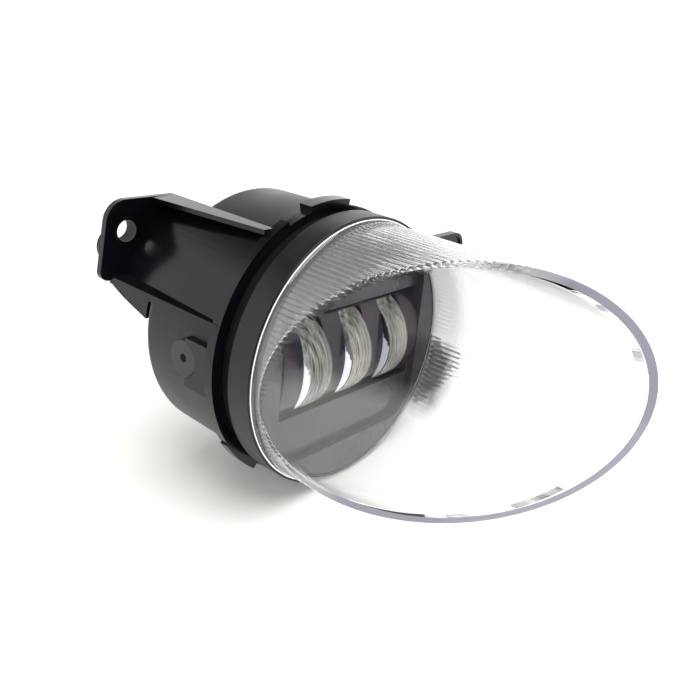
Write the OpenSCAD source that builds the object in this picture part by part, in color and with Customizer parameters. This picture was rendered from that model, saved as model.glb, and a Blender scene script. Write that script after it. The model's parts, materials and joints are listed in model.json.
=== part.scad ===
// Round LED fog light with an obliquely cut clear outer lens.
// The lamp axis is Y, the front faces -Y, X is to the right seen from the front, Z is up.
// The origin is the centre of the bezel ring's front edge.

/* [Outer lens] */
// Radius of the lens tube, outside
lens_r = 45.1; // [40:0.1:45.2]
// Thickness of the tube wall
lens_wall = 2.4; // [1.8:0.1:3]
// Thickness of the flat front window
window_t = 3; // [2:0.1:4]
// Distance from the origin to the window along the axis
window_y = 44.9; // [44:0.1:60]
// Angle in plan between the window and the lamp's cross section
window_rake = 42.74; // [0:0.1:43]
// Backward lean of the window
window_lean = 2.1; // [0:0.1:4]

/* [Housing] */
// Outside radius of the bezel ring
bezel_r = 46.7; // [46.5:0.1:48]
// Length of the bezel ring
bezel_l = 9.5; // [8:0.1:10]
// Radius of the drum at its front
drum_front_r = 45.6; // [45:0.1:46]
// Radius of the drum at its rear edge
drum_rear_r = 45; // [44:0.1:45.4]
// Position of the drum's rear edge
drum_end = 54; // [52:0.5:56]

/* [Bracket] */
// Position of the front face of the bracket's flange
flange_y = 14.3; // [13:0.1:15]
// Radius of the flange between its lugs
flange_r = 47.2; // [47:0.1:49]
// Radius of the lugs
lug_r = 49.2; // [48:0.1:52]
// Position of the front face of the rear tab
tab_y = 65.3; // [60:0.1:70]
// Radius of the fastening holes, inside their sleeves
hole_r = 3.65; // [3:0.05:4]

/* [Optics] */
// Distance between neighbouring projector lenses
lens_pitch = 19.3; // [18:0.1:20]
// Width of one projector lens
projector_w = 10.4; // [9:0.1:12]
// Radius of the projector lenses' curved front
projector_r = 16.5; // [15:0.1:20]
// Front of the projector lenses
projector_y = -4.5; // [-5:0.1:-2]

/* [Aiming] */
// Position of the tilt axis behind the origin
pivot_y = 30.6; // [29:0.1:31]
// Distance of the adjuster screw below the tilt axis
lever = 30; // [29:0.1:31]
// Radius of the pivot pins
pin_r = 3; // [2.5:0.1:3]
// Radius of the adjuster screw
screw_r = 2; // [1.8:0.1:2]

/* [Hidden] */
$fn = 96;
eps = 0.01;
run_fit = 0.06;
big = 300;

// Outer lens
flange_lip = 1.5;
lens_flange_r = 45.85;
tongue_r = 44.3;
tongue_end = 6;
lens_bore = lens_r - lens_wall;

// Bezel ring and drum
bezel_seat_r = 45.95;
spigot_r = 44.4;
spigot_front = 7.5;
spigot_in_r = 42.4;
trim_seat_y = 10.6;
drum_shoulder = flange_y + 3.6;
drum_bore = 42.4;
rear_bore = 41;
throat_r = 41;
edge_r = 3.6;
ledge_y = 45.8;
ledge_r = 38;
ledge_t = 2;
pad_x = 47.5;
pad_low = -8.8;
pad_high = 7.8;
pad_len = 11;
pad_top = 17.9;

// Rear cover
cover_y = 49;
cover_t = 2.6;
cover_r = rear_bore - 0.2;
cover_back = cover_y + cover_t;
cover_bolt_r = 36;
cover_bolt_angles = [45, 135, 225, 315];
boss_r = 3.6;
vent_x = -28;
vent_z = -14;

// Inner bezel
trim_front = -0.8;
trim_t = 1.8;
trim_r = lens_bore - 0.5;
recess_x = 34;
recess_z = 31;
recess_corner = 12;
floor_y = 2;
floor_t = 1.6;

// Optical module
carrier_x = 33.2;
carrier_z = 14;
carrier_top = 16.4;
carrier_wall = 1.6;
barrel_r = 27;
barrel_y = -1.1;
lens_low = -13.3;
lens_top = 15.7;
lens_back = 8;
slip = 0.1;
window_gap = 1.6;
reflector_back = 17.6;
reflector_x = 26.5;
reflector_z = 11.6;
board_y = 18.4;
board_t = 1.6;
board_x = 31;
board_z = 11.5;
thermal_t = 0.5;
sink_y = board_y + board_t + thermal_t;
sink_base = 3;
sink_back = 40;
sink_x = 31.2;
sink_z = 12.2;
ear_x = 38;
ear_t = 3.2;
ear_r = 7;
bush_r = 4.2;
bush_l = 4.4;

// Aiming gear
nut_r = 4.2;
nut_l = 11;
arm_x = 6.5;
arm_depth = 8;
journal_r = 3;
knob_r = 5;
knob_l = 4;
clip_t = 0.8;
clip_y = cover_y - 4.1;

// Bracket arm
arm_in_r = 45.75;
arm_out_r = 47.3;
arm_top_z = 42.4;
arm_low_z = 18;
web_r = 44.1;
plate_t = 1.6;
low_plate_t = 2.5;
tab_t = 2.2;
tab_hole_x = -43.1;
tab_hole_z = 32.2;
ear_hole_x = 66;
ear_hole_z = 8;
ear_plate_t = 2.4;
sleeve_r = 4.6;
sleeve_l = 5.6;
shoulder_r = 48.7;
rim_w = 1.4;

// Cylinder along Y from y0 to y1
module rod(r, y0, y1) {
    translate([0, y0, 0])
        rotate([-90, 0, 0])
            cylinder(r = r, h = y1 - y0);
}

// Tube along Y
module tube(r_out, r_in, y0, y1) {
    difference() {
        rod(r_out, y0, y1);
        rod(r_in, y0 - 1, y1 + 1);
    }
}

// Outline in X and Z, extruded along Y from y0 to y1
module plate(y0, y1) {
    translate([0, y1, 0])
        rotate([90, 0, 0])
            linear_extrude(y1 - y0)
                children();
}

// Box given by its lowest and highest corners
module block(low, high) {
    translate(low)
        cube(high - low);
}

// Rectangle with round corners, centred
module round_rect(half_x, half_z, r) {
    square([2 * half_x, 2 * (half_z - r)], center = true);
    square([2 * (half_x - r), 2 * half_z], center = true);
    for (sx = [-1, 1], sz = [-1, 1])
        translate([sx * (half_x - r), sz * (half_z - r)])
            circle(r = r);
}

// Points on an arc
function arc(cx, cz, r, a0, a1, n = 12) =
    [for (i = [0:n]) let (a = a0 + (a1 - a0) * i / n) [cx + r * cos(a), cz + r * sin(a)]];

// Everything more than depth behind the window's front plane
module behind_window(depth) {
    translate([0, -window_y, 0])
        rotate([window_lean, 0, -window_rake])
            translate([-big / 2, depth, -big / 2])
                cube(big);
}

module outer_lens() {
    color("lavender", 0.35)
        difference() {
            union() {
                intersection() {
                    rod(lens_r, -big / 2, flange_lip);
                    behind_window(0);
                }
                rod(lens_flange_r, 0, flange_lip);
                rod(tongue_r, 0, tongue_end);
            }
            intersection() {
                rod(lens_bore, -big / 2, tongue_end + 1);
                behind_window(window_t);
            }
        }
}

module lens_gasket() {
    color("dimgray")
        tube(tongue_r, lens_bore + 0.4, tongue_end, spigot_front);
}

module bezel_ring() {
    color([0.12, 0.12, 0.13])
        difference() {
            rod(bezel_r, 0, bezel_l);
            rod(bezel_seat_r, -1, flange_lip + 0.1);
            rod(spigot_r + 0.1, -1, bezel_l + 1);
        }
}

// Outline of the window that the optical module looks through, grown by m
module window_outline(m) {
    translate([-carrier_x - 0.5 - m, -carrier_z - window_gap - m])
        square([2 * (carrier_x + 0.5 + m), carrier_top + carrier_z + 2 * (window_gap + m)]);
}

module inner_bezel() {
    color([0.16, 0.16, 0.17])
        difference() {
            union() {
                difference() {
                    rod(trim_r, trim_front, trim_front + trim_t);
                    plate(trim_front - 1, trim_front + trim_t + 1)
                        round_rect(recess_x, recess_z, recess_corner);
                }
                difference() {
                    intersection() {
                        rod(trim_r, trim_front + eps, floor_y + floor_t);
                        plate(trim_front + eps, floor_y + floor_t)
                            round_rect(recess_x + floor_t, recess_z + floor_t, recess_corner + floor_t);
                    }
                    plate(trim_front - 1, floor_y)
                        round_rect(recess_x, recess_z, recess_corner);
                }
                plate(floor_y, floor_y + 5)
                    window_outline(floor_t);
                tube(trim_r, trim_r - floor_t, trim_front + eps, trim_seat_y);
            }
            plate(floor_y - 1, floor_y + 6)
                window_outline(0);
        }
}

// Profile of the drum: radius, position along the axis
function drum_outline() = concat(
    [[spigot_in_r, spigot_front], [spigot_r, spigot_front], [spigot_r, drum_shoulder],
     [drum_front_r, drum_shoulder]],
    arc(drum_rear_r - edge_r, drum_end - edge_r, edge_r, 0, 90),
    [[rear_bore, drum_end], [rear_bore, ledge_y + ledge_t], [ledge_r, ledge_y + ledge_t],
     [ledge_r, ledge_y], [drum_bore, ledge_y - 4.4], [drum_bore, drum_shoulder + 4],
     [throat_r, drum_shoulder], [throat_r, trim_seat_y], [spigot_in_r, trim_seat_y]]);

module drum_housing() {
    color([0.13, 0.13, 0.14])
        difference() {
            union() {
                rotate([-90, 0, 0])
                    rotate_extrude()
                        polygon(drum_outline());
                for (side = [-1, 1])
                    block([min(side * pad_x, side * drum_bore), pad_top, pad_low],
                        [max(side * pad_x, side * drum_bore), pad_top + pad_len, pad_high]);
                for (side = [-1, 1])
                    translate([0, pivot_y, 0])
                        rotate([0, side * 90, 0])
                            translate([0, 0, drum_bore - 2.4])
                                cylinder(r = 8, h = 4.6);
                for (a = cover_bolt_angles)
                    translate([cover_bolt_r * cos(a), 0, cover_bolt_r * sin(a)])
                        rod(boss_r, ledge_y - 8, cover_y);
            }
            for (side = [-1, 1])
                translate([0, pivot_y, 0])
                    rotate([0, side * 90, 0]) {
                        translate([0, 0, 30])
                            cylinder(r = pin_r, h = 30);
                        translate([0, 0, drum_front_r - 0.7])
                            cylinder(r = 6.6, h = 10);
                    }
            for (a = cover_bolt_angles)
                translate([cover_bolt_r * cos(a), 0, cover_bolt_r * sin(a)])
                    rod(1.7, ledge_y - 6, cover_y + 1);
        }
}

// Sector of a ring, between two angles seen from the front
module ring_sector(r_out, r_in, a0, a1, y0, y1) {
    reach = 2 * r_out;
    middle = (a0 + a1) / 2;
    intersection() {
        tube(r_out, r_in, y0, y1);
        plate(y0 - 1, y1 + 1)
            polygon([[0, 0], [reach * cos(a0), reach * sin(a0)],
                [reach * cos(middle), reach * sin(middle)], [reach * cos(a1), reach * sin(a1)]]);
    }
}

// Outline of the rear tab
function tab_outline() = concat(
    [[-23.7, arm_top_z]],
    arc(-43.2, 35, 7.8, 90, 168),
    arc(-50.4, 19.3, 3, 170, 270, 8),
    [[-38, arm_low_z - low_plate_t], [-38, 24], [-30, 33], [-23.7, 38]]);

// Outline of the right ear
function ear_outline(m = 0) = concat(
    [[40, 28 - m]],
    arc(72.5, 22, 6 - m, 90, 0),
    arc(72.5, -6, 6 - m, 0, -90),
    [[40, -12 + m]]);

module bracket_arm() {
    // curved floor of the channel
    intersection() {
        tube(arm_out_r, arm_in_r, drum_shoulder - 1, tab_y + tab_t);
        plate(0, tab_y + tab_t)
            polygon([[-60, arm_low_z - low_plate_t], [-30, arm_low_z - low_plate_t], [-23.7, 36],
                [-23.7, arm_top_z], [-60, arm_top_z]]);
    }
    // upper wall
    difference() {
        translate([0, 0, arm_top_z - plate_t])
            linear_extrude(plate_t)
                polygon([[-23.7, drum_shoulder - 1], [-23.7, tab_y + eps], [-33.2, tab_y + eps],
                    [-27.5, drum_shoulder - 1]]);
        rod(arm_in_r + 0.5, 0, tab_y + 1);
    }
    // lower wall
    difference() {
        intersection() {
            translate([-51, 0, 0])
                rotate([90, 0, 90])
                    linear_extrude(12)
                        polygon([[drum_shoulder - 2, arm_low_z - 2], [tab_y + eps, arm_low_z],
                            [tab_y + eps, arm_low_z - low_plate_t],
                            [drum_shoulder - 2, arm_low_z - 2 - low_plate_t]]);
            translate([0, 0, -1])
                linear_extrude(40)
                    polygon([[-46.3, drum_shoulder - 2], [-50.1, tab_y + 1], [-39, tab_y + 1],
                        [-39, drum_shoulder - 2]]);
        }
        rod(arm_in_r, 0, drum_end + 0.3);
    }
    // curved web under the lower wall, behind the drum
    intersection() {
        tube(web_r, web_r - 1.9, drum_end + 0.3, tab_y + 9);
        translate([-60, 0, 0])
            rotate([90, 0, 90])
                linear_extrude(30)
                    polygon([[drum_end + 0.3, 5], [tab_y - 3, 7], [tab_y + 3, 8.6],
                        [tab_y + 9, 10.6], [tab_y + 9, 13.5], [tab_y + tab_t, arm_low_z - 0.5],
                        [drum_end + 0.3, arm_low_z - 1.4]]);
    }
    // rear tab with its boss
    difference() {
        plate(tab_y, tab_y + tab_t)
            polygon(tab_outline());
        rod(web_r - 3.1, tab_y - 1, tab_y + tab_t + 1);
    }
    translate([tab_hole_x, 0, tab_hole_z])
        rod(sleeve_r + 1.2, tab_y + eps, tab_y + sleeve_l);
    // round pad behind the tab's outer edge
    translate([-45.6, 0, 26.8])
        rod(6, tab_y + eps, tab_y + sleeve_l - 0.8);
}

module bracket_ear() {
    difference() {
        union() {
            plate(flange_y, flange_y + ear_plate_t)
                polygon(ear_outline());
            plate(flange_y - 0.7, flange_y + eps)
                difference() {
                    polygon(ear_outline());
                    polygon(ear_outline(rim_w));
                }
        }
        rod(flange_r - 1, flange_y - 2, flange_y + 5);
    }
    translate([ear_hole_x, 0, ear_hole_z])
        rod(sleeve_r + 1.4, flange_y + eps, flange_y + sleeve_l);
    for (z = [20, -4])
        difference() {
            translate([0, 0, z])
                linear_extrude(2)
                    polygon([[50, flange_y + eps], [72, flange_y + eps], [72, flange_y + ear_plate_t + 1],
                        [50, flange_y + 7]]);
            translate([ear_hole_x, 0, ear_hole_z])
                rod(sleeve_r, flange_y - 1, flange_y + 9);
        }
}

module mounting_bracket() {
    color([0.03, 0.03, 0.035])
        difference() {
            union() {
                tube(flange_r, spigot_r + 0.15, flange_y, drum_shoulder - 0.1);
                ring_sector(shoulder_r, spigot_r + 0.5, 114, 232, flange_y, drum_shoulder - 0.1);
                ring_sector(lug_r, drum_front_r + 0.3, 80.5, 102, flange_y, flange_y + 5.3);
                for (a = [213, 305])
                    ring_sector(lug_r, spigot_r + 0.5, a, a + 21, flange_y, drum_shoulder - 0.1);
                bracket_arm();
                bracket_ear();
            }
            translate([tab_hole_x, 0, tab_hole_z])
                rod(sleeve_r, tab_y - 1, tab_y + sleeve_l + 1);
            translate([ear_hole_x, 0, ear_hole_z])
                rod(sleeve_r, flange_y - 1, flange_y + sleeve_l + 1);
        }
}

module bracket_sleeves() {
    color("silver") {
        translate([tab_hole_x, 0, tab_hole_z])
            tube(sleeve_r, hole_r, tab_y, tab_y + sleeve_l);
        translate([ear_hole_x, 0, ear_hole_z])
            tube(sleeve_r, hole_r, flange_y, flange_y + sleeve_l);
    }
}

module pivot_pins() {
    color([0.2, 0.2, 0.21])
        for (side = [-1, 1])
            translate([0, pivot_y, 0])
                rotate([0, side * 90, 0])
                    difference() {
                        union() {
                            translate([0, 0, carrier_x + 0.5])
                                cylinder(r = pin_r, h = drum_front_r - carrier_x);
                            translate([0, 0, drum_front_r - 0.7])
                                cylinder(r = 6, h = 1.9);
                        }
                        translate([0, 0, drum_front_r - 0.5])
                            cylinder(r = 1.6, h = 4, $fn = 6);
                    }
}

module pivot_bushes() {
    color("ivory")
        for (side = [-1, 1])
            translate([side * (ear_x - bush_l / 2 - 0.6), pivot_y, 0])
                rotate([0, 90, 0])
                    difference() {
                        cylinder(r = bush_r, h = bush_l, center = true);
                        cylinder(r = pin_r + run_fit, h = bush_l + 1, center = true);
                    }
}

// Barrel-shaped solid across X: its lowest and highest Z, the front curve's radius and position
module barrel(half_x, low, top, r, front, back) {
    intersection() {
        translate([0, front + r, 0])
            rotate([0, 90, 0])
                cylinder(r = r, h = 2 * half_x, center = true);
        block([-half_x, front - 1, low], [half_x, back, top]);
    }
}

module lens_carrier() {
    color([0.1, 0.1, 0.11])
        difference() {
            union() {
                difference() {
                    union() {
                        barrel(carrier_x, -carrier_z, carrier_top, barrel_r, barrel_y, board_y);
                        block([-carrier_x, 5, -carrier_z], [carrier_x, board_y + 6, carrier_top]);
                    }
                    barrel(carrier_x - carrier_wall, -carrier_z + carrier_wall,
                        carrier_top - carrier_wall, barrel_r, barrel_y + carrier_wall, board_y);
                    block([-carrier_x + carrier_wall, 8, -carrier_z + carrier_wall],
                        [carrier_x - carrier_wall, board_y + 10, carrier_top - carrier_wall]);
                }
                // ears for the pivot bushes
                for (side = [-1, 1]) {
                    intersection() {
                        block([min(side * carrier_x, side * ear_x) - eps, board_y, -ear_r],
                            [max(side * carrier_x, side * ear_x) + eps, pivot_y + ear_r, ear_r]);
                        union() {
                            translate([0, pivot_y, 0])
                                rotate([0, 90, 0])
                                    cylinder(r = ear_r, h = big, center = true);
                            block([-big, board_y, -ear_r], [big, pivot_y, ear_r]);
                        }
                    }
                }
                // arm that carries the adjuster nut
                block([-arm_x, board_y + 1, -carrier_z - 4],
                    [arm_x, pivot_y + arm_depth / 2, -carrier_z + 0.5]);
                block([-arm_x, pivot_y - arm_depth / 2 - 1.5, -lever - 6],
                    [arm_x, pivot_y + arm_depth / 2 + 1.5, -carrier_z - 3]);
            }
            for (i = [-1:1])
                block([i * lens_pitch - projector_w / 2 - slip, barrel_y - 1, lens_low - slip],
                    [i * lens_pitch + projector_w / 2 + slip, lens_back + 1, lens_top + slip]);
            translate([0, pivot_y, 0])
                rotate([0, 90, 0])
                    cylinder(r = bush_r, h = big, center = true);
            translate([0, pivot_y, -lever])
                rotate([0, 90, 0])
                    cylinder(r = nut_r + 0.08, h = big, center = true);
            translate([0, 0, -lever])
                rod(screw_r + 1, board_y, big / 2);
        }
}

module projector_lens(i) {
    color("white", 0.4)
        translate([i * lens_pitch, 0, 0]) {
            barrel(projector_w / 2, lens_low, lens_top, projector_r, projector_y, lens_back);
            block([-projector_w / 2 - 1.5, lens_back - 2, -carrier_z + carrier_wall + 0.2],
                [projector_w / 2 + 1.5, lens_back, carrier_top - carrier_wall - 0.2]);
        }
}

module projector_lens_left() {
    projector_lens(-1);
}

module projector_lens_centre() {
    projector_lens(0);
}

module projector_lens_right() {
    projector_lens(1);
}

module reflector_bank() {
    color("gainsboro")
        difference() {
            block([-reflector_x, lens_back + 0.2, -reflector_z],
                [reflector_x, reflector_back, reflector_z]);
            for (i = [-1:1])
                translate([i * lens_pitch, 0, 0]) {
                    translate([0, lens_back, 0])
                        rotate([-90, 0, 0])
                            cylinder(r1 = 8.2, r2 = 3.4, h = reflector_back - lens_back + eps);
                    rod(3, lens_back, reflector_back + 1);
                }
        }
}

module led_emitters() {
    color("khaki")
        for (i = [-1:1])
            translate([i * lens_pitch, 0, 0]) {
                block([-1.75, board_y - 0.7, -1.75], [1.75, board_y, 1.75]);
                intersection() {
                    translate([0, board_y - 0.7, 0])
                        sphere(r = 1.4);
                    block([-2, board_y - 3, -2], [2, board_y - 0.7 + eps, 2]);
                }
            }
}

// Places of the four screws through the circuit board
module at_board_screws() {
    for (sx = [-1, 1], sz = [-1, 1])
        translate([sx * 29, 0, sz * 9])
            children();
}

module led_board() {
    color("darkgreen")
        difference() {
            block([-board_x, board_y, -board_z], [board_x, board_y + board_t, board_z]);
            at_board_screws()
                rod(1.3, board_y - 1, board_y + board_t + 1);
        }
}

module thermal_pad() {
    color("lightsteelblue")
        difference() {
            block([-board_x, board_y + board_t, -board_z], [board_x, sink_y, board_z]);
            at_board_screws()
                rod(1.6, board_y, sink_y + 1);
        }
}

module heat_sink() {
    fins = 13;
    fin_t = 1.4;
    color("silver")
        difference() {
            union() {
                block([-sink_x, sink_y, -sink_z], [sink_x, sink_y + sink_base, sink_z]);
                for (i = [0:fins - 1])
                    translate([-sink_x + 0.3 + i * (2 * sink_x - fin_t - 0.6) / (fins - 1), 0, 0])
                        block([0, sink_y + sink_base - eps, -sink_z], [fin_t, sink_back, sink_z]);
            }
            at_board_screws()
                rod(1.2, sink_y - 1, sink_y + sink_base + 1);
        }
}

module board_screws() {
    color("gray")
        at_board_screws()
            difference() {
                union() {
                    rod(2.1, board_y - 1.4, board_y);
                    rod(1.15, board_y - eps, sink_y + sink_base - 0.3);
                }
                translate([0, board_y - 1.5, 0])
                    rotate([-90, 0, 0])
                        cylinder(r = 1, h = 0.9, $fn = 6);
            }
}

module rear_cover() {
    color([0.1, 0.1, 0.11])
        difference() {
            union() {
                rod(cover_r, cover_y, cover_back);
                for (z = [-20:5:20])
                    difference() {
                        block([-20, cover_back - eps, z - 0.7], [20, cover_back + 1.4, z + 0.7]);
                        block([-13.5, cover_back - 1, 8], [13.5, cover_back + 3, 28]);
                    }
                translate([0, 0, -lever])
                    rod(journal_r + 2.4, cover_y - 3, cover_back + 0.4);
                for (sx = [-1, 1], z = [-6, 22])
                    translate([sx * 16, 0, z])
                        rod(2.2, cover_y - 3, cover_y + eps);
            }
            for (a = cover_bolt_angles)
                translate([cover_bolt_r * cos(a), 0, cover_bolt_r * sin(a)])
                    rod(2.2, cover_y - 1, cover_back + 1);
            translate([0, 0, -lever])
                rod(journal_r + run_fit, cover_y - 4, cover_back + 3);
            translate([0, 0, -lever])
                rod(journal_r + 1.4, cover_y - 4, cover_y - 1.2);
            translate([vent_x, 0, vent_z])
                rod(3, cover_y - 1, cover_back + 1);
            plate(cover_y - 1, cover_back + 1)
                translate([0, 18])
                    square([13, 6], center = true);
        }
}

module rear_gasket() {
    color("dimgray")
        difference() {
            rod(cover_r - 0.3, ledge_y + ledge_t, cover_y);
            rod(ledge_r + 0.4, ledge_y, cover_y + 1);
            for (a = cover_bolt_angles)
                translate([cover_bolt_r * cos(a), 0, cover_bolt_r * sin(a)])
                    rod(boss_r + 0.1, ledge_y, cover_y + 1);
        }
}

module cover_screws() {
    color("gray")
        for (a = cover_bolt_angles)
            translate([cover_bolt_r * cos(a), 0, cover_bolt_r * sin(a)])
                difference() {
                    union() {
                        rod(1.65, ledge_y - 5, cover_back);
                        rod(3.4, cover_back, cover_back + 2.2);
                    }
                    translate([0, cover_back + 0.8, 0])
                        rotate([-90, 0, 0])
                            cylinder(r = 1.6, h = 3, $fn = 6);
                }
}

module driver_board() {
    color("darkgreen")
        block([-20, cover_y - 4.6, -10], [20, cover_y - 3, 26]);
}

module driver_components() {
    board_front = cover_y - 4.6;
    color("darkslategray") {
        block([-18, board_front - 2.4, 0], [-8, board_front, 10]);
        block([12, board_front - 1.6, 4], [18, board_front, 9]);
        block([2, board_front - 1.2, 16], [10, board_front, 22]);
        translate([-12, 0, 18])
            rod(3.4, board_front - 3, board_front);
        translate([4, 0, 3])
            rod(3, board_front - 3, board_front);
    }
}

module connector_socket() {
    depth = 14;
    color([0.07, 0.07, 0.08])
        difference() {
            union() {
                plate(cover_back, cover_back + 2)
                    translate([0, 18])
                        round_rect(13, 9, 2);
                plate(cover_back + 2 - eps, cover_back + depth)
                    translate([0, 18])
                        round_rect(10.5, 6.5, 2);
                block([-2, cover_back + 4, 24], [2, cover_back + 11, 25.6]);
            }
            plate(cover_back + 3, cover_back + depth + 1)
                translate([0, 18])
                    round_rect(9, 5, 1);
            for (sx = [-1, 1])
                plate(cover_back - 1, cover_back + 4)
                    translate([sx * 4, 18])
                        square([0.9, 2.9], center = true);
        }
}

module connector_terminals() {
    color("gold")
        for (sx = [-1, 1])
            plate(cover_y - 3, cover_back + 8.5)
                translate([sx * 4, 18])
                    square([0.8, 2.8], center = true);
}

module breather_vent() {
    color("black")
        translate([vent_x, 0, vent_z]) {
            rod(2.9, cover_y - 1.5, cover_back);
            rod(4.6, cover_back, cover_back + 2.2);
            rod(3.4, cover_back + 2.2 - eps, cover_back + 3.4);
        }
}

module adjuster_screw() {
    color("whitesmoke")
        translate([0, 0, -lever])
            difference() {
                union() {
                    rod(screw_r, pivot_y - 8, clip_y - 1);
                    rod(journal_r, clip_y - 1 - eps, cover_back + 0.8);
                    rod(knob_r, cover_back + 0.7, cover_back + 0.7 + knob_l);
                }
                for (i = [0:11])
                    rotate([0, i * 30, 0])
                        translate([knob_r + 0.4, 0, 0])
                            rod(0.9, cover_back + 2, cover_back + knob_l + 2);
                translate([0, cover_back + 2, 0])
                    rotate([-90, 0, 0])
                        cylinder(r = 2, h = 6, $fn = 6);
                tube(journal_r + 1, journal_r - 0.7, clip_y - 0.05, clip_y + clip_t + 0.05);
            }
}

module adjuster_nut() {
    color("wheat")
        difference() {
            translate([0, pivot_y, -lever])
                rotate([0, 90, 0])
                    cylinder(r = nut_r, h = nut_l, center = true);
            translate([0, 0, -lever])
                rod(screw_r + run_fit, pivot_y - 10, pivot_y + 10);
        }
}

module adjuster_seal() {
    color("black")
        translate([0, 0, -lever])
            difference() {
                rod(journal_r + 1.4, cover_y - 2.6, cover_y - 1.2);
                rod(journal_r + run_fit, cover_y - 4, cover_y);
            }
}

module adjuster_clip() {
    color("gray")
        translate([0, 0, -lever])
            difference() {
                tube(journal_r + 1.8, journal_r - 0.7, clip_y, clip_y + clip_t);
                block([0, clip_y - 1, -1.8], [6, clip_y + 2, 1.8]);
            }
}

outer_lens();
lens_gasket();
bezel_ring();
inner_bezel();
drum_housing();
mounting_bracket();
bracket_sleeves();
pivot_pins();
pivot_bushes();
lens_carrier();
projector_lens_left();
projector_lens_centre();
projector_lens_right();
reflector_bank();
led_emitters();
led_board();
thermal_pad();
heat_sink();
board_screws();
rear_cover();
rear_gasket();
cover_screws();
driver_board();
driver_components();
connector_socket();
connector_terminals();
breather_vent();
adjuster_screw();
adjuster_nut();
adjuster_seal();
adjuster_clip();
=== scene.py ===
"""Round LED fog light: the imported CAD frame, finished for rendering.

Lengths are in millimetres and become metres where they are multiplied by MM. Angles are in degrees.
"""
import json
import math

import bmesh
import bpy
from mathutils import Matrix, Vector, noise


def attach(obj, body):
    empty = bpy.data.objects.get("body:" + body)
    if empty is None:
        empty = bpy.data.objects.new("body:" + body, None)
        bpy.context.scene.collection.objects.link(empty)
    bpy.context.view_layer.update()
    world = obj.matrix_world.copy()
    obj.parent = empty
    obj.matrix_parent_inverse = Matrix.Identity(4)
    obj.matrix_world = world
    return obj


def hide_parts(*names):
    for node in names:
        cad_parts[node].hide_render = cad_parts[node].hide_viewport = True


MM = 0.001
TURN = 2 * math.pi

# The outer lens
LENS_R = 45.1
LENS_BORE = 42.7
LENS_FLANGE_R = 45.85
TONGUE_R = 44.3
WINDOW_Y = 44.9
WINDOW_SLOPE_X = 0.9241
WINDOW_SLOPE_Z = 0.0503
WINDOW_T = 4.09
RIBS = 156
COLUMNS_PER_RIB = 12
RIB_DEPTH = 0.2
RIB_DEPTH_FAR = 0.004
BEAD_DEPTH = 0.3
BEAD_LENGTH = 9.0
PRISM_DEPTH = 0.85
PRISM_LENGTH = 17.0

# Stretches of the lens wall, by the turn round the lens: 0 is its right side, 90 its top
BEADS_FROM = -4
BEADS_TO = 70
PRISMS_FROM = -44
PRISMS_TO = -1
# SIDE_TO and SIDE_FROM bound the stretch that carries painted white light near the ring.
SIDE_TO = 62
SIDE_FROM = 356
# From this turn to the side stretch the prisms carry a painted dark reflection.
PAINTED_DARK_PRISMS_FROM = 312
PLAIN_WALL_FROM = 270

# The projector optics
LENS_PITCH = 19.3
PROJECTOR_W = 10.4
PROJECTOR_R = 16.5
PROJECTOR_Y = -4.5
PROJECTOR_LOW = -13.3
PROJECTOR_TOP = 15.7
PROJECTOR_BACK = 8.0
FLUTES = 6
FLUTE_DEPTH = 0.15
FROST_STRIPS = (0.8, 1.6, 2.4, 3.2)
REFLECTOR_BACK = 17.6
REFLECTOR_HALF_X = 26.5
REFLECTOR_HALF_Z = 11.6

# The camera, in the row frame, in millimetres
CAMERA_AT = (-200.63, -163.82, 111.45)
CAMERA_RIGHT = (0.66270, -0.74321, 0.09204)
CAMERA_DOWN = (-0.23674, -0.32451, -0.91578)
CAMERA_FORWARD = (0.71048, 0.58509, -0.39100)
CAMERA_LENS = 43.40

# The floor: the lamp rests on its bracket's flange and on the lens
FLOOR_NORMAL = (-0.137, 0.0388, 0.99)
FLOOR_DROP = 47.0

# The studio: a bright surround that turns dark overhead, one very large softbox overhead and a
# little in front, and a dark flag before the lamp on the left, seen only in reflections
SKY_BRIGHT = 1.45
SKY_DARK = 0.06
SKY_BRIGHT_BELOW = 0.5
SKY_DARK_ABOVE = 0.74
KEY_FROM = (-0.08, -0.24, 1.0)
KEY_STRENGTH = 3.1
KEY_ANGLE = 56
FLAG_AT = (-57, -94, 53)
FLAG_HALF_WIDTH = 220
FLAG_HALF_HEIGHT = 100
FLAG_FADE = 0.12

LENS_MATS = ["lens_clear", "lens_lip_painted_highlight", "lens_rim_painted_reflection", "lens_ribs_painted_light", "lens_side_painted_light", "lens_prisms_painted_reflection",
             "lens_edge_painted_light"]
PROJECTOR_MATS = ["projector_clear", "frosted_painted_glow", "optic_back_painted_reflection", "carrier_dark"]

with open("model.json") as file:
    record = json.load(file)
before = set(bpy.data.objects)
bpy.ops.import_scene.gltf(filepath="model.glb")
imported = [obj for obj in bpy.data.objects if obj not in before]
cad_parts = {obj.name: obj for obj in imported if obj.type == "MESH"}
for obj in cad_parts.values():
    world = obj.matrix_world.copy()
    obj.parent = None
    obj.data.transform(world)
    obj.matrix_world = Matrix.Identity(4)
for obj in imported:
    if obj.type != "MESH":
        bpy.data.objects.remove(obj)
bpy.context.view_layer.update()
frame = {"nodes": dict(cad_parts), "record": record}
nodes = frame["nodes"]
node_body = {n: b for b, ns in frame["record"]["behaviour"]["bodies"].items() for n in ns}
node_slot = {s["node"]: s["material_slot"] for s in frame["record"]["subparts"]}


# ---------------------------------------------------------------- materials

def new_material(name):
    """A material with its Principled shader: (material, nodes, links, shader)."""
    mat = bpy.data.materials.new(name)
    mat.use_nodes = True
    tree = mat.node_tree
    return mat, tree.nodes, tree.links, tree.nodes["Principled BSDF"]


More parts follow.
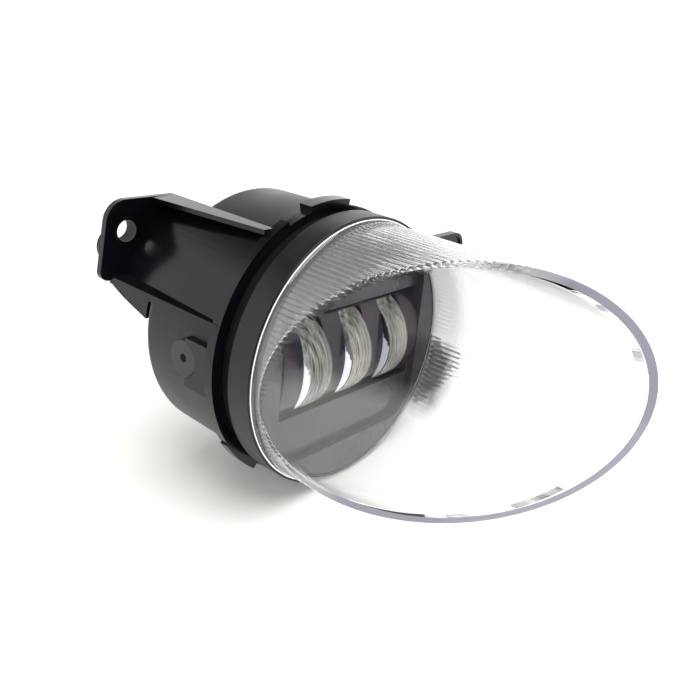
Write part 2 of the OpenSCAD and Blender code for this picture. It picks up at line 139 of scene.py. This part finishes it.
def noise_node(tree_nodes, links, coords, scale, detail=4.0, stretch=(1, 1, 1)):
    """A noise texture over object space, optionally stretched along an axis."""
    mapping = tree_nodes.new("ShaderNodeMapping")
    mapping.inputs["Scale"].default_value = stretch
    tex = tree_nodes.new("ShaderNodeTexNoise")
    tex.inputs["Scale"].default_value = scale
    tex.inputs["Detail"].default_value = detail
    links.new(coords.outputs["Object"], mapping.inputs["Vector"])
    links.new(mapping.outputs["Vector"], tex.inputs["Vector"])
    return tex


def ramp_node(tree_nodes, links, source, low, high, start=0.35, end=0.65):
    """A colour ramp from low to high."""
    ramp = tree_nodes.new("ShaderNodeValToRGB")
    ramp.color_ramp.elements[0].position = start
    ramp.color_ramp.elements[0].color = (*low, 1)
    ramp.color_ramp.elements[1].position = end
    ramp.color_ramp.elements[1].color = (*high, 1)
    links.new(source.outputs["Fac"], ramp.inputs["Fac"])
    return ramp


def range_node(tree_nodes, links, source, low, high):
    """Maps a noise's middle range to low..high."""
    mapped = tree_nodes.new("ShaderNodeMapRange")
    mapped.inputs["From Min"].default_value = 0.3
    mapped.inputs["From Max"].default_value = 0.7
    mapped.inputs["To Min"].default_value = low
    mapped.inputs["To Max"].default_value = high
    links.new(source.outputs["Fac"], mapped.inputs["Value"])
    return mapped


def surface(name, low, high, rough, grain=900, bump=0.1, metallic=0.0, patch=60, stretch=(1, 1, 1),
            specular=0.5, depth=0.02):
    """A solid surface: colour that varies between low and high, roughness patches and a fine grain."""
    mat, tn, links, shader = new_material(name)
    coords = tn.new("ShaderNodeTexCoord")
    broad = noise_node(tn, links, coords, patch, 5, stretch)
    fine = noise_node(tn, links, coords, grain, 6, stretch)
    colour = ramp_node(tn, links, broad, low, high)
    links.new(colour.outputs["Color"], shader.inputs["Base Color"])
    mapped = range_node(tn, links, broad, rough * 0.85, rough * 1.2)
    links.new(mapped.outputs["Result"], shader.inputs["Roughness"])
    relief = tn.new("ShaderNodeBump")
    relief.inputs["Strength"].default_value = bump
    relief.inputs["Distance"].default_value = depth * MM
    links.new(fine.outputs["Fac"], relief.inputs["Height"])
    links.new(relief.outputs["Normal"], shader.inputs["Normal"])
    shader.inputs["Metallic"].default_value = metallic
    shader.inputs["Specular IOR Level"].default_value = specular
    return mat


def clear(name, tint_low, tint_high, rough, ior=1.58, bump=0.04, grain=120, transmission=1.0,
          glow=0.0):
    """A clear moulded surface with slight waviness; glow is an emission, painted light on a part that is no
    lamp.
    """
    mat, tn, links, shader = new_material(name)
    coords = tn.new("ShaderNodeTexCoord")
    broad = noise_node(tn, links, coords, 40, 3)
    fine = noise_node(tn, links, coords, grain, 3)
    colour = ramp_node(tn, links, broad, tint_low, tint_high)
    links.new(colour.outputs["Color"], shader.inputs["Base Color"])
    mapped = range_node(tn, links, fine, rough * 0.6, rough * 1.4)
    links.new(mapped.outputs["Result"], shader.inputs["Roughness"])
    relief = tn.new("ShaderNodeBump")
    relief.inputs["Strength"].default_value = bump
    relief.inputs["Distance"].default_value = 0.05 * MM
    links.new(fine.outputs["Fac"], relief.inputs["Height"])
    links.new(relief.outputs["Normal"], shader.inputs["Normal"])
    shader.inputs["Transmission Weight"].default_value = transmission
    shader.inputs["Emission Color"].default_value = (0.92, 0.95, 1.0, 1)
    shader.inputs["Emission Strength"].default_value = glow
    shader.inputs["IOR"].default_value = ior
    return mat


def paint_light_on_side(mat, direction, start, full, amount, colour, near=None):
    """Paints light or shade into a clear piece on the side that direction points to: from start to full
    along it the piece turns part opaque, towards colour;
    with near, only that close to the ring."""
    tree = mat.node_tree
    shader = tree.nodes["Principled BSDF"]
    coords = tree.nodes.new("ShaderNodeTexCoord")
    along = tree.nodes.new("ShaderNodeVectorMath")
    along.operation = "DOT_PRODUCT"
    along.inputs[1].default_value = direction
    tree.links.new(coords.outputs["Object"], along.inputs[0])
    fade = tree.nodes.new("ShaderNodeMapRange")
    fade.inputs["From Min"].default_value = start * MM
    fade.inputs["From Max"].default_value = full * MM
    tree.links.new(along.outputs["Value"], fade.inputs["Value"])
    if near:
        split = tree.nodes.new("ShaderNodeSeparateXYZ")
        tree.links.new(coords.outputs["Object"], split.inputs["Vector"])
        ahead = tree.nodes.new("ShaderNodeMapRange")
        ahead.inputs["From Min"].default_value = -near * MM
        ahead.inputs["From Max"].default_value = -0.6 * near * MM
        tree.links.new(split.outputs["Y"], ahead.inputs["Value"])
        tree.links.new(ahead.outputs["Result"], fade.inputs["To Max"])
    tint = tree.nodes.new("ShaderNodeValToRGB")
    tint.color_ramp.elements[0].color = (0.995, 0.995, 1, 1)
    tint.color_ramp.elements[1].color = (*colour, 1)
    tree.links.new(fade.outputs["Result"], tint.inputs["Fac"])
    tree.links.new(tint.outputs["Color"], shader.inputs["Base Color"])
    through = tree.nodes.new("ShaderNodeMapRange")
    through.inputs["To Min"].default_value = 1.0
    through.inputs["To Max"].default_value = 1.0 - amount
    tree.links.new(fade.outputs["Result"], through.inputs["Value"])
    tree.links.new(through.outputs["Result"], shader.inputs["Transmission Weight"])
    return mat


def painted_shade_upwards(mat):
    """Darkens a surface to half of its colour towards its top: painted shade."""
    tree = mat.node_tree
    shader = tree.nodes["Principled BSDF"]
    colour = shader.inputs["Base Color"].links[0].from_socket
    coords = tree.nodes.new("ShaderNodeTexCoord")
    split = tree.nodes.new("ShaderNodeSeparateXYZ")
    fade = tree.nodes.new("ShaderNodeMapRange")
    fade.inputs["From Min"].default_value = -10 * MM
    fade.inputs["From Max"].default_value = 5 * MM
    fade.inputs["To Min"].default_value = 1.0
    fade.inputs["To Max"].default_value = 0.5
    scale = tree.nodes.new("ShaderNodeVectorMath")
    scale.operation = "SCALE"
    tree.links.new(coords.outputs["Object"], split.inputs["Vector"])
    tree.links.new(split.outputs["Z"], fade.inputs["Value"])
    tree.links.new(colour, scale.inputs[0])
    tree.links.new(fade.outputs["Result"], scale.inputs["Scale"])
    tree.links.new(scale.outputs["Vector"], shader.inputs["Base Color"])
    return mat


def grey(v, w=None):
    """A neutral colour; w is its blue, where that differs."""
    return (v, v, v if w is None else w)


WHITE = grey(1)
MATS = {
    "lens_clear": clear("lens_clear", (0.985, 0.985, 0.995), WHITE, 0.008),
    # Painted light: the ribbed wall turns a tenth opaque and pale grey towards its upper left.
    "lens_ribs_painted_light": paint_light_on_side(clear("lens_ribs_painted_light", WHITE, WHITE, 0.004, bump=0.01),
                       (-0.87, 0, 0.48), -5, 15, 0.1, (0.86, 0.86, 0.89)),
    # Painted light: on the right, close to the ring, the wall turns almost opaque white, standing for
    # bright surroundings refracted by the ribs.
    "lens_side_painted_light": paint_light_on_side(clear("lens_side_painted_light", WHITE, WHITE, 0.01, bump=0.01),
                       (0.94, 0, 0.34), 36, 43, 0.95, WHITE, near=16),
    # Painted reflection: the rim chamfer and the window's outer ring turn almost opaque violet grey, except
    # on the upper left.
    "lens_rim_painted_reflection": paint_light_on_side(clear("lens_rim_painted_reflection", WHITE, WHITE, 0.1),
                      (0.87, 0, -0.48), -20, -4, 0.9, (0.26, 0.25, 0.31)),
    # Painted light: the last few millimetres of the wall before the window turn almost opaque white, except
    # on the upper left.
    "lens_edge_painted_light": paint_light_on_side(clear("lens_edge_painted_light", WHITE, WHITE, 0.01),
                       (0.87, 0, -0.48), -20, -4, 0.9, WHITE),
    # Painted reflection: close to the ring on the lower right the prism stretch turns half opaque and dark,
    # standing for the dark trim reflected in the prisms.
    "lens_prisms_painted_reflection": paint_light_on_side(clear("lens_prisms_painted_reflection", WHITE, WHITE, 0.01),
                         (0.927, 0, -0.375), 41.5, 44, 0.5, (0.13, 0.13, 0.14), near=15),
    "ring_black": surface("ring_black", grey(0.004), grey(0.007, 0.008), 0.34, grain=1400, bump=0.2,
                          specular=0.32),
    "housing_black": surface("housing_black", grey(0.005), grey(0.008, 0.009), 0.36, grain=1100, bump=0.3,
                             specular=0.32),
    "bracket_black": surface("bracket_black", grey(0.002, 0.003), grey(0.004, 0.006), 0.18, grain=260,
                             bump=0.08, depth=0.05, patch=45, specular=0.32),
    "sleeve_dark": surface("sleeve_dark", grey(0.04), grey(0.06), 0.6, grain=900, bump=0.2, specular=0.2),
    # Painted highlight: the flange's edge band is nearly opaque white and lit from within, standing for the
    # white line along the flange.
    "lens_lip_painted_highlight": clear("lens_lip_painted_highlight", (0.9, 0.9, 0.94), WHITE, 0.5, transmission=0.1, glow=0.5),
    "trim_gloss": surface("trim_gloss", grey(0.024, 0.028), grey(0.034, 0.039), 0.16, grain=500, bump=0.08),
    # Its blue and maroon tints are a painted reflection.
    "carrier_dark": surface("carrier_dark", (0.008, 0.011, 0.02), (0.03, 0.013, 0.018), 0.12, grain=400,
                            bump=0.06, patch=45),
    "projector_clear": clear("projector_clear", (0.93, 0.95, 0.95), (0.97, 0.975, 0.965), 0.02, ior=1.5),
    "reflector_bright": surface("reflector_bright", (0.42, 0.40, 0.30), (0.85, 0.85, 0.82), 0.12,
                                metallic=1.0, grain=300, bump=0.2, patch=260, depth=0.1),
    # Painted reflection: the opaque back of each projector lens shows vertical streaks from dark grey to
    # cream that stand for the reflectors seen through it; painted shade darkens it upwards.
    "optic_back_painted_reflection": painted_shade_upwards(surface("optic_back_painted_reflection", (0.05, 0.05, 0.055), (1.0, 0.97, 0.84), 0.22,
                                        grain=900, bump=0.3, patch=520, stretch=(1.5, 1, 0.16))),
    "emitter_phosphor": surface("emitter_phosphor", (0.75, 0.55, 0.08), (0.9, 0.75, 0.2), 0.35, grain=2500),
    "board_green": surface("board_green", (0.008, 0.07, 0.025), (0.015, 0.11, 0.04), 0.3, grain=700),
    "component_dark": surface("component_dark", grey(0.02), grey(0.04), 0.5, grain=1500, bump=0.3),
    "pad_grey": surface("pad_grey", (0.30, 0.34, 0.4), (0.38, 0.42, 0.48), 0.8, grain=1800, bump=0.4),
    "sink_aluminium": surface("sink_aluminium", grey(0.5), grey(0.62, 0.63), 0.42, metallic=1.0,
                              grain=900, bump=0.5),
    "screw_steel": surface("screw_steel", grey(0.5), grey(0.62), 0.28, metallic=1.0, grain=700, bump=0.3,
                           stretch=(1, 8, 1)),
    "seal_rubber": surface("seal_rubber", grey(0.012), grey(0.025), 0.75, grain=1700, bump=0.4),
    "pin_black": surface("pin_black", grey(0.026), grey(0.038), 0.5, grain=900, bump=0.25, specular=0.35),
    "bush_natural": surface("bush_natural", (0.7, 0.67, 0.58), (0.78, 0.75, 0.66), 0.4, grain=900),
    "adjuster_white": surface("adjuster_white", grey(0.68, 0.66), grey(0.76, 0.74), 0.38,
                              grain=900, bump=0.2),
    "connector_black": surface("connector_black", grey(0.012), grey(0.02), 0.45, grain=1200, bump=0.3),
    "terminal_tin": surface("terminal_tin", (0.62, 0.5, 0.28), (0.75, 0.64, 0.4), 0.25,
                            metallic=1.0, grain=800),
    "vent_black": surface("vent_black", grey(0.012), grey(0.02), 0.5, grain=1300, bump=0.3),
    # Frosting with a painted glow: an emission on a part that is no lamp.
    "frosted_painted_glow": clear("frosted_painted_glow", (0.8, 0.85, 0.95), (0.9, 0.93, 1.0), 0.5, grain=900, bump=0.3,
                     transmission=0.1, glow=0.45),
    # A dimmer copy of the frosting with a weaker emission: painted shade for the right lens.
    "frosted_dim_painted_shade": clear("frosted_dim_painted_shade", (0.5, 0.52, 0.58), (0.58, 0.6, 0.66), 0.5, grain=900, bump=0.3,
                         transmission=0.1, glow=0.12),
}


# ---------------------------------------------------------------- mesh tools

def add_object(name, bm, mats, smooth_angle=35):
    """An object from a bmesh in millimetres, smooth except at sharp edges."""
    bmesh.ops.recalc_face_normals(bm, faces=bm.faces)
    if bm.calc_volume(signed=True) < 0:
        bmesh.ops.reverse_faces(bm, faces=bm.faces)
    mesh = bpy.data.meshes.new(name)
    bm.to_mesh(mesh)
    bm.free()
    mesh.transform(Matrix.Scale(MM, 4))
    for mat in mats:
        mesh.materials.append(MATS[mat])
    mesh.shade_smooth()
    mesh.set_sharp_from_angle(angle=math.radians(smooth_angle))
    for poly in mesh.polygons:
        if len(poly.vertices) > 4:
            poly.use_smooth = False
    obj = bpy.data.objects.new(name, mesh)
    bpy.context.scene.collection.objects.link(obj)
    return obj


def bevel(obj, width):
    """Rounds the object's edges."""
    mod = obj.modifiers.new("edge_round", "BEVEL")
    mod.width = width * MM
    mod.segments = 2
    mod.limit_method = "ANGLE"
    mod.angle_limit = math.radians(30)
    mod.use_clamp_overlap = True
    even = obj.modifiers.new("even_shading", "WEIGHTED_NORMAL")
    even.keep_sharp = True
    even.weight = 80


def adopt(obj, node):
    """obj stands for the CAD node, whose part it hides, and rides on its body."""
    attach(obj, node_body[node])
    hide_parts(node)


def finished(node, width, mat=None):
    """A copy of a CAD node with clean faces and rounded edges, which stands for it."""
    bm = bmesh.new()
    bm.from_mesh(nodes[node].data)
    bmesh.ops.scale(bm, vec=(1 / MM,) * 3, verts=bm.verts)
    bmesh.ops.remove_doubles(bm, verts=bm.verts, dist=0.002)
    bmesh.ops.dissolve_limit(bm, angle_limit=math.radians(0.05), verts=bm.verts, edges=bm.edges)
    obj = add_object(node + "_finished", bm, [mat or node_slot[node]])
    bevel(obj, width)
    adopt(obj, node)
    return obj


def let_light_through(obj):
    """A clear piece casts no shadow; it is seen, reflected and looked through as usual."""
    obj.visible_shadow = False
    obj.visible_diffuse = False


def rows_to_mesh(bm, rows, close=True):
    """Joins rows of points with quads."""
    grid = [[bm.verts.new(p) for p in row] for row in rows]
    count = len(rows[0])
    for a, b in zip(grid, grid[1:]):
        for i in range(count if close else count - 1):
            j = (i + 1) % count
            bm.faces.new((a[i], a[j], b[j], b[i]))
    return grid


# ---------------------------------------------------------------- the outer lens

def window_at(x, z, behind=0.0):
    """Position of the window's front plane along Y."""
    return -(WINDOW_Y + WINDOW_SLOPE_X * x + WINDOW_SLOPE_Z * z) + behind


def smooth_step(t):
    """0 below t = 0, 1 above t = 1, smooth between."""
    t = min(max(t, 0.0), 1.0)
    return t * t * (3 - 2 * t)


def rib_drop(i, a, d):
    """Depth of the groove in column i, at the angle a round the lens and d before the ring: even
    ribs with narrow grooves over the top and left of the lens, which fade out on the right; next to
    the ring there, round beads above and steep prisms below."""
    across = abs(2 * (i % COLUMNS_PER_RIB) / COLUMNS_PER_RIB - 1)
    groove = across ** 3
    bead = (1 - math.sqrt(1 - 0.75 * across ** 2)) * 2
    right = smooth_step((math.cos(a + math.radians(25)) + 0.4) / 0.5)
    turn = math.degrees(a) - (360 if a > math.pi else 0)
    uneven = 2.2 * noise.noise((i // COLUMNS_PER_RIB * 0.7, 0, 0))
    reach = PRISM_LENGTH * (1 - 0.5 * smooth_step((-10 - turn) / 30)) + uneven
    prisms = smooth_step((turn - PRISMS_FROM) / 10) * smooth_step((PRISMS_TO - turn) / 9)
    prisms *= smooth_step((reach - d) / 3)
    beads = smooth_step((turn - BEADS_FROM) / 8) * smooth_step((BEADS_TO - turn) / 20)
    beads *= smooth_step((BEAD_LENGTH + uneven - d) / 3)
    drop = (RIB_DEPTH + (RIB_DEPTH_FAR - RIB_DEPTH) * right) * groove
    drop += (BEAD_DEPTH * bead - drop) * beads
    drop += (PRISM_DEPTH * across - drop) * prisms
    return drop * smooth_step((d - 1.2) / 2.0)


def wall_material(turn):
    """Material of the lens wall at this turn round the lens."""
    if turn < SIDE_TO or turn > SIDE_FROM:
        return "lens_side_painted_light"
    if turn > PAINTED_DARK_PRISMS_FROM:
        return "lens_prisms_painted_reflection"
    if turn > PLAIN_WALL_FROM:
        return "lens_clear"
    return "lens_ribs_painted_light"


def ribbed_lens():
    """The clear lens: tongue, base flange, ribbed tube cut by the flat window."""
    columns = RIBS * COLUMNS_PER_RIB
    heights = [0.0, 0.35, 0.8, 1.6, 2.4, 3.2, 4.2, 6.0, 8.0, 10.0, 12.0, 14.0, 16.0, 18.5]
    bm = bmesh.new()

    def ring(r, y_of):
        row = []
        for i in range(columns):
            a = TURN * i / columns
            x, z = r * math.cos(a), r * math.sin(a)
            row.append((x, y_of(x, z), z))
        return row

    def wall_row(reach):
        """One row of the ribbed wall; reach says how far before the ring, from the wall's length."""
        row = []
        for i in range(columns):
            a = TURN * i / columns
            c, s = math.cos(a), math.sin(a)
            d = reach(-window_at(LENS_R * c, LENS_R * s))
            flare = 0.45 * (1 - smooth_step(d / 0.8))
            r = LENS_R - rib_drop(i, a, d) + flare
            row.append((r * c, -d, r * s))
        return row

    outer = [ring(LENS_BORE, lambda x, z: 6.0), ring(TONGUE_R - 0.2, lambda x, z: 6.0),
             ring(TONGUE_R, lambda x, z: 5.8), ring(TONGUE_R, lambda x, z: 1.5),
             ring(LENS_FLANGE_R - 0.15, lambda x, z: 1.5), ring(LENS_FLANGE_R, lambda x, z: 1.35),
             ring(LENS_FLANGE_R, lambda x, z: 0.2), ring(LENS_FLANGE_R - 0.05, lambda x, z: -0.15)]
    for k, height in enumerate(heights):
        share = (k + 0.5) / (len(heights) + 1)
        outer.append(wall_row(lambda length: min(height, share * length)))
    for back, share in ((5.0, 0.08), (0.3, 0.04)):
        outer.append(wall_row(lambda length: length - min(back, share * length)))
    rim = []
    for x, y, z in outer[-1]:
        r = math.hypot(x, z)
        k = (r - 0.3) / r
        rim.append((x * k, window_at(x * k, z * k), z * k))
    outer.append(rim)
    outer.append(ring(LENS_BORE, window_at))
    inner = [ring(LENS_BORE, lambda x, z: window_at(x, z, WINDOW_T + 0.4)),
             ring(LENS_BORE - 0.1, lambda x, z: window_at(x, z, WINDOW_T + 0.1)),
             ring(LENS_BORE - 0.4, lambda x, z: window_at(x, z, WINDOW_T))]
    grid = rows_to_mesh(bm, outer)
    faces = list(bm.faces)
    # The lip band takes a painted highlight, the wall's front band painted white light and the rim band a
    # painted reflection; the wall's other bands follow its stretches.
    lip, wall, edge, rim_band = 6 * columns, 8 * columns, -3 * columns, -2 * columns
    for face in faces[lip:wall]:
        face.material_index = LENS_MATS.index("lens_lip_painted_highlight")
    for k, face in enumerate(faces[wall:edge]):
        face.material_index = LENS_MATS.index(wall_material(360 * (k % columns) / columns))
    for face in faces[edge:rim_band]:
        face.material_index = LENS_MATS.index("lens_edge_painted_light")
    for face in faces[rim_band:]:
        face.material_index = LENS_MATS.index("lens_rim_painted_reflection")
    bm.faces.new(grid[-1])
    inner_grid = rows_to_mesh(bm, inner)
    bm.faces.new(inner_grid[-1])
    for i in range(columns):
        j = (i + 1) % columns
        bm.faces.new((grid[0][i], grid[0][j], inner_grid[0][j], inner_grid[0][i]))
    obj = add_object("lens_ribbed", bm, LENS_MATS, 40)
    let_light_through(obj)
    adopt(obj, "outer_lens")


# ---------------------------------------------------------------- the projector optics

def projector(side, node):
    """One thick clear lens: curved front with vertical flutes; its left face has frosting low down with a
    painted glow, its opaque back a painted reflection in streaks, and a painted shadow line in the dark
    carrier material follows its right edge."""
    steps_z, steps_x = 40, 48
    left, right = -PROJECTOR_W / 2, PROJECTOR_W / 2 - 0.35
    centre_x = side * LENS_PITCH
    bm = bmesh.new()
    front = []
    for k in range(steps_z + 1):
        z = PROJECTOR_LOW + (PROJECTOR_TOP - PROJECTOR_LOW) * k / steps_z
        y = PROJECTOR_Y + PROJECTOR_R - math.sqrt(PROJECTOR_R ** 2 - z * z)
        row = []
        for i in range(steps_x + 1):
            t = i / steps_x
            u = 2 * t - 1
            edge = 0.3 * max(0.0, (abs(u) - 0.93) / 0.07) ** 2
            flute = FLUTE_DEPTH * (1 - abs(math.cos(math.pi * FLUTES * t)))
            row.append((centre_x + left + (right - left) * t, y + 0.35 * u * u + flute + edge, z))
        front.append(row)
    grid = rows_to_mesh(bm, front, close=False)
    # Painted shadow line: the last two columns of the front take the dark carrier material.
    for k, face in enumerate(bm.faces):
        if k % steps_x >= steps_x - 2:
            face.material_index = PROJECTOR_MATS.index("carrier_dark")
    back = [[bm.verts.new((v.co.x, PROJECTOR_BACK, v.co.z)) for v in row] for row in grid]
    sides = []
    for row, far in zip(grid, back):
        x, y, z = row[0].co
        strips = [bm.verts.new((x, y + d, z)) for d in FROST_STRIPS]
        sides.append([row[0], *strips, far[0]])
    for a, b in zip(back, back[1:]):
        for i in range(steps_x):
            face = bm.faces.new((a[i], b[i], b[i + 1], a[i + 1]))
            face.material_index = PROJECTOR_MATS.index("optic_back_painted_reflection")
    for k in (0, steps_z):
        for i in range(steps_x):
            edge = sides[k][-2:0:-1] if i == 0 else []
            bm.faces.new([grid[k][i], grid[k][i + 1], back[k][i + 1], back[k][i]] + edge)
    for k in range(steps_z):
        bm.faces.new((grid[k][-1], grid[k + 1][-1], back[k + 1][-1], back[k][-1]))
        for i in range(len(FROST_STRIPS) + 1):
            face = bm.faces.new((sides[k][i], sides[k + 1][i], sides[k + 1][i + 1], sides[k][i + 1]))
            # Only the lower part of each left face takes the frosting with its painted glow, where that
            # face looks lit.
            if k < steps_z * (0.5 + 0.035 * i):
                face.material_index = PROJECTOR_MATS.index("frosted_painted_glow")
    mats = list(PROJECTOR_MATS)
    # The right lens takes the dimmer copy, painted shade.
    if side > 0:
        mats[mats.index("frosted_painted_glow")] = "frosted_dim_painted_shade"
    obj = add_object(node + "_fluted", bm, mats, 30)
    let_light_through(obj)
    adopt(obj, node)


def reflector_bowls():
    """Three bright faceted bowls behind the projector lenses, one cell of the bank each."""
    front, back = PROJECTOR_BACK + 0.2, REFLECTOR_BACK
    around, deep = 36, 7
    bm = bmesh.new()
    for side in (-1, 0, 1):
        centre = side * LENS_PITCH
        x_low = -REFLECTOR_HALF_X if side < 0 else centre - LENS_PITCH / 2 + 0.02
        x_high = REFLECTOR_HALF_X if side > 0 else centre + LENS_PITCH / 2 - 0.02

        def cell(y):
            row = []
            for i in range(around):
                a = TURN * (i + 0.5) / around
                c, q = math.cos(a), math.sin(a)
                reach_x = (x_high - centre if c > 0 else centre - x_low) / max(abs(c), 1e-6)
                k = min(reach_x, REFLECTOR_HALF_Z / max(abs(q), 1e-6))
                row.append((centre + k * c, y, k * q))
            return row

        def bowl(t):
            y = front + (back - front) * t
            wide = 3.0 + 1.9 * math.sqrt(1 - t)
            tall = 3.0 + 7.8 * math.sqrt(1 - t)
            row = []
            for i in range(around):
                a = TURN * (i + 0.5) / around
                c, q = math.cos(a), math.sin(a)
                squared = (abs(c) ** 3 + abs(q) ** 3) ** (-1 / 3)
                row.append((centre + wide * c * squared, y, tall * q * squared))
            return row

        rows = [cell(front), cell(back)] + [bowl(1 - k / deep) for k in range(deep + 1)]
        grid = rows_to_mesh(bm, rows)
        for i in range(around):
            j = (i + 1) % around
            bm.faces.new((grid[-1][i], grid[-1][j], grid[0][j], grid[0][i]))
    obj = add_object("reflector_bowls", bm, ["reflector_bright"], 8)
    adopt(obj, "reflector_bank")


# ---------------------------------------------------------------- stage

def stage():
    """Camera, floor, world and lights."""
    right, down, forward = (Vector(v) for v in (CAMERA_RIGHT, CAMERA_DOWN, CAMERA_FORWARD))
    cam_data = bpy.data.cameras.new("camera")
    cam_data.sensor_width = 36
    cam_data.lens = CAMERA_LENS
    cam_data.clip_start = 0.01
    cam_data.clip_end = 50
    cam = bpy.data.objects.new("camera", cam_data)
    turn = Matrix((right, -down, -forward)).transposed().to_4x4()
    cam.matrix_world = Matrix.Translation(Vector(CAMERA_AT) * MM) @ turn
    bpy.context.scene.collection.objects.link(cam)
    bpy.context.scene.camera = cam

    normal = Vector(FLOOR_NORMAL).normalized()
    bm = bmesh.new()
    bmesh.ops.create_grid(bm, x_segments=8, y_segments=8, size=4000)
    floor = add_object("floor", bm, [])
    floor.data.materials.append(surface("floor_pale", grey(0.88, 0.855), grey(0.9, 0.875), 0.6,
                                        grain=300, bump=0.05, patch=4))
    tilt = Vector((0, 0, 1)).rotation_difference(normal).to_matrix().to_4x4()
    floor.matrix_world = Matrix.Translation(-normal * FLOOR_DROP * MM) @ tilt

    world = bpy.data.worlds.new("studio")
    world.use_nodes = True
    tn, links = world.node_tree.nodes, world.node_tree.links
    coords = tn.new("ShaderNodeTexCoord")
    split = tn.new("ShaderNodeSeparateXYZ")
    links.new(coords.outputs["Generated"], split.inputs["Vector"])
    height = tn.new("ShaderNodeMapRange")
    height.interpolation_type = "SMOOTHSTEP"
    height.inputs["From Min"].default_value = SKY_BRIGHT_BELOW
    height.inputs["From Max"].default_value = SKY_DARK_ABOVE
    height.inputs["To Min"].default_value = SKY_BRIGHT
    height.inputs["To Max"].default_value = SKY_DARK
    links.new(split.outputs["Z"], height.inputs["Value"])
    links.new(height.outputs["Result"], tn["Background"].inputs["Strength"])
    tn["Background"].inputs["Color"].default_value = (1.0, 1.0, 0.99, 1)
    bpy.context.scene.world = world

    data = bpy.data.lights.new("softbox", "SUN")
    data.energy = KEY_STRENGTH
    data.angle = math.radians(KEY_ANGLE)
    key = bpy.data.objects.new("softbox", data)
    key.rotation_euler = Vector(KEY_FROM).to_track_quat("Z", "Y").to_euler()
    bpy.context.scene.collection.objects.link(key)

    reflection_flag()
    bpy.context.scene.view_settings.view_transform = "Standard"


def reflection_flag():
    """A dark card before the lamp that softens out towards its lower edge."""
    bm = bmesh.new()
    bmesh.ops.create_grid(bm, x_segments=2, y_segments=2, size=1)
    flag = add_object("flag", bm, [])
    mat = surface("flag_black", grey(0.02), grey(0.03), 0.8)
    tree = mat.node_tree
    coords = tree.nodes.new("ShaderNodeTexCoord")
    split = tree.nodes.new("ShaderNodeSeparateXYZ")
    fade = tree.nodes.new("ShaderNodeMapRange")
    fade.inputs["From Min"].default_value = -MM
    fade.inputs["From Max"].default_value = -(1 - FLAG_FADE) * MM
    tree.links.new(coords.outputs["Object"], split.inputs["Vector"])
    tree.links.new(split.outputs["Y"], fade.inputs["Value"])
    tree.links.new(fade.outputs["Result"], tree.nodes["Principled BSDF"].inputs["Alpha"])
    flag.data.materials.append(mat)
    flag.scale = (FLAG_HALF_WIDTH, FLAG_HALF_HEIGHT, 1)
    away = Vector((-FLAG_AT[0], -FLAG_AT[1], 0))
    flag.rotation_euler = away.to_track_quat("Z", "Y").to_euler()
    flag.location = Vector(FLAG_AT) * MM
    flag.visible_camera = False
    flag.visible_shadow = False
    flag.visible_diffuse = False


ribbed_lens()
for offset, which in ((-1, "left"), (0, "centre"), (1, "right")):
    projector(offset, "projector_lens_" + which)
reflector_bowls()

done = {"outer_lens", "projector_lens_left", "projector_lens_centre", "projector_lens_right",
        "reflector_bank", "bracket_sleeves"}
widths = {"mounting_bracket": 0.4, "bezel_ring": 0.5, "drum_housing": 0.5, "inner_bezel": 0.35,
          "lens_carrier": 0.25, "thermal_pad": 0.05, "led_emitters": 0.08,
          "connector_terminals": 0.15, "adjuster_clip": 0.1, "board_screws": 0.1}
for node in nodes:
    if node not in done:
        finished(node, widths.get(node, 0.2))
sleeves = finished("bracket_sleeves", 0.15, mat="sleeve_dark")
sleeves.data.materials.append(MATS["bracket_black"])
for poly in sleeves.data.polygons:
    poly.material_index = 1 if abs(poly.normal.y) > 0.9 else 0
stage()
